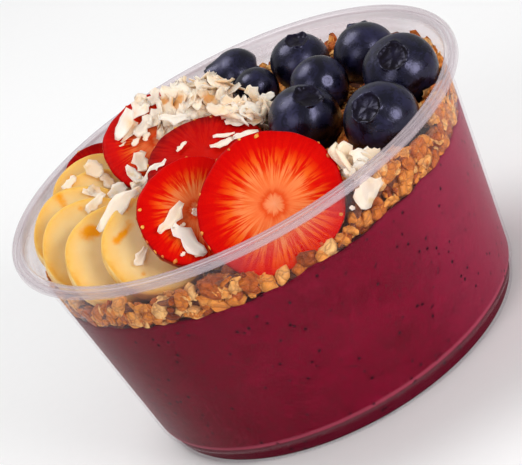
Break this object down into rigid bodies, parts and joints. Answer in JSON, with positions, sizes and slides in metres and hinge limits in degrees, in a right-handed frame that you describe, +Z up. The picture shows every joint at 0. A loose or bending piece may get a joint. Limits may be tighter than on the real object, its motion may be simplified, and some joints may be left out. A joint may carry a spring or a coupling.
{
  "type": "acai bowl",
  "caption": "Clear round tub of thick acai topped with toasted granola, fanned banana, strawberry slices, blueberries and shredded coconut.",
  "frame": {"origin": "middle of the foot ring's underside, where the tub stands", "axes": "+Z up along the tub's axis; -Y is the side shown to the viewer, with the banana fan on its left (-X) and the blueberries on its right (+X)"},
  "size_m": [0.117, 0.117, 0.0725],
  "materials": {
    "clear_plastic": "clear, slightly milky moulded plastic",
    "acai_pulp": "thick smooth fruit pulp, damp",
    "granola_toasted": "toasted oat clusters, lightly glazed",
    "banana_flesh": "moist cut banana",
    "strawberry_flesh": "wet cut strawberry with glossy skin",
    "blueberry_skin": "dark skin with a pale bloom",
    "coconut_flesh": "dry shredded coconut"
  },
  "bodies": {
    "root": {"acai": "acai_pulp", "banana_slice_1": "banana_flesh", "banana_slice_2": "banana_flesh", "banana_slice_3": "banana_flesh", "banana_slice_4": "banana_flesh", "banana_slice_5": "banana_flesh", "banana_slice_6": "banana_flesh", "blueberry_1": "blueberry_skin", "blueberry_2": "blueberry_skin", "blueberry_3": "blueberry_skin", "blueberry_4": "blueberry_skin", "blueberry_5": "blueberry_skin", "blueberry_6": "blueberry_skin", "blueberry_7": "blueberry_skin", "blueberry_8": "blueberry_skin", "coconut_heap_1": "coconut_flesh", "coconut_heap_2": "coconut_flesh", "coconut_heap_3": "coconut_flesh", "cup": "clear_plastic", "granola": "granola_toasted", "strawberry_slice_1": "strawberry_flesh", "strawberry_slice_2": "strawberry_flesh", "strawberry_slice_3": "strawberry_flesh", "strawberry_slice_4": "strawberry_flesh", "strawberry_slice_5": "strawberry_flesh"}
  },
  "joints": []
}
